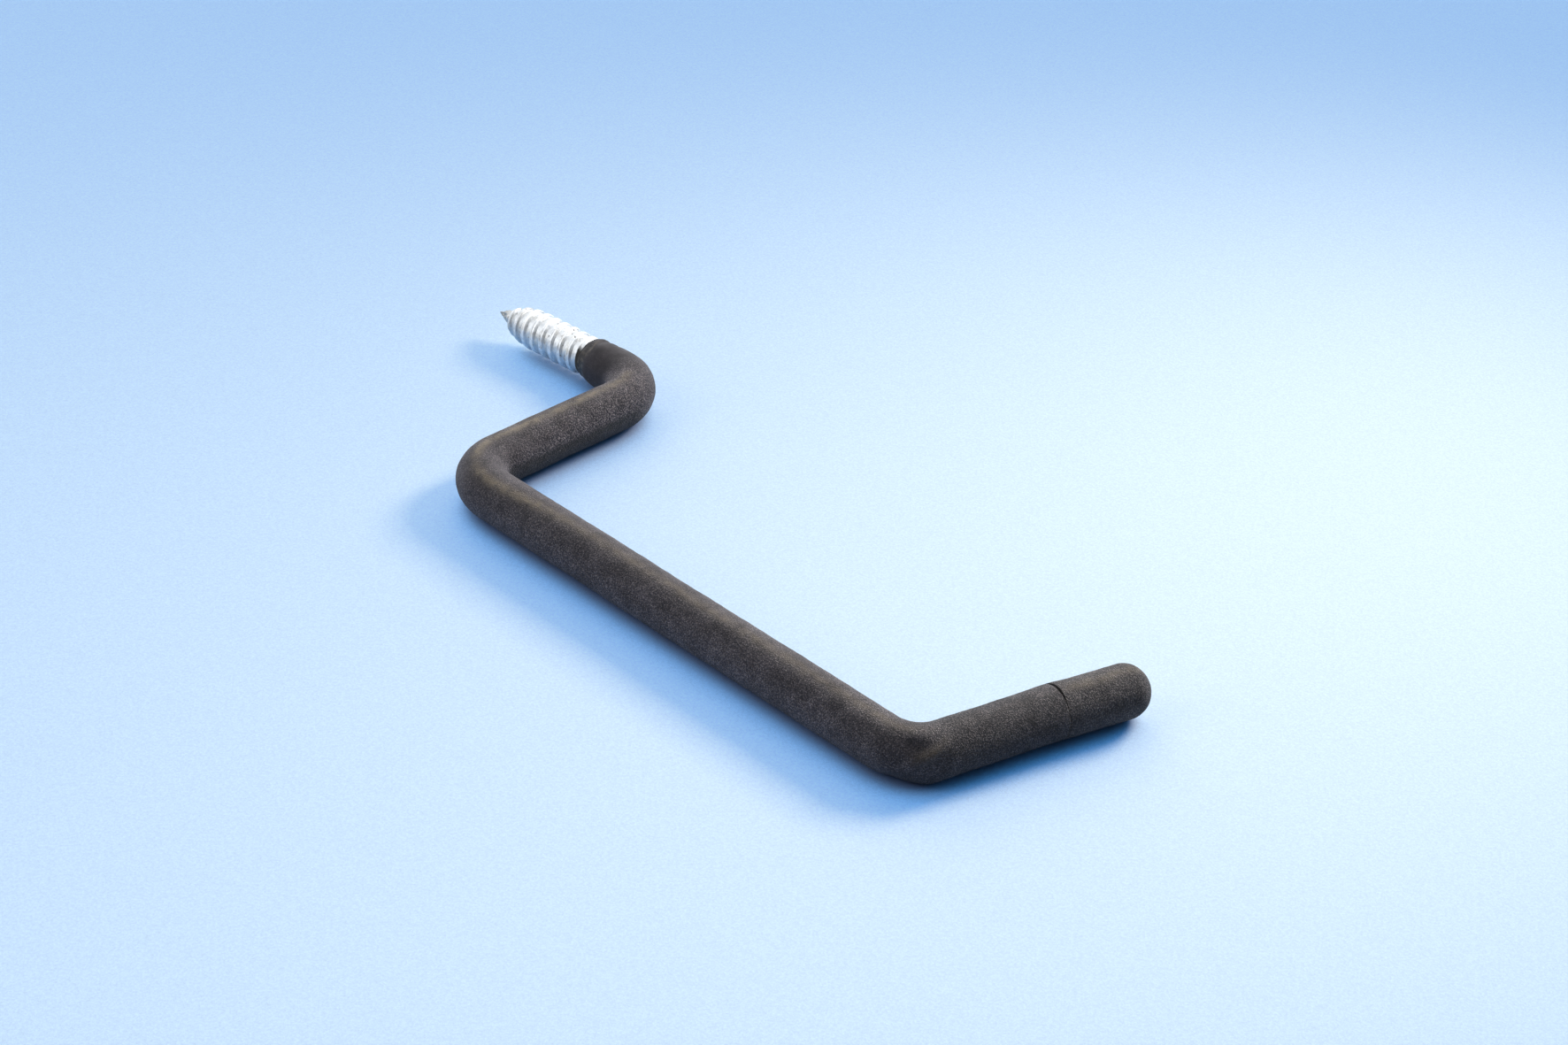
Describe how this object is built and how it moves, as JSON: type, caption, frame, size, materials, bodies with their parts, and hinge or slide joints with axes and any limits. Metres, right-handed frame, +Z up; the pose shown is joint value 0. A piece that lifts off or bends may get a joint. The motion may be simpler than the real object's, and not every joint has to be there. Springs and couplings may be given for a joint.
{
  "type": "screw hook",
  "caption": "Wide square storage hook: a bent steel rod with a lag-thread end, a black foam sleeve over its bends and a domed foam cap on its tip.",
  "frame": {"origin": "on the screw's axis at the mouth of the foam sleeve, which is where the hook stops against the wall", "axes": "-X along the screw to its point, +X out from the wall, -Y down the drop leg, +Y back up the tip leg, +Z up off the surface on which the hook lies flat"},
  "size_m": [0.2184, 0.0857, 0.0128],
  "materials": {
    "plated_steel": "bright zinc plating, dulled and stained in places",
    "sleeve_foam": "matt black closed-cell foam with a pebbled skin",
    "cap_foam": "matt black closed-cell foam with a pebbled skin"
  },
  "bodies": {
    "root": {"hook_rod": "plated_steel", "foam_sleeve": "sleeve_foam", "foam_end_cap": "cap_foam"}
  },
  "joints": []
}
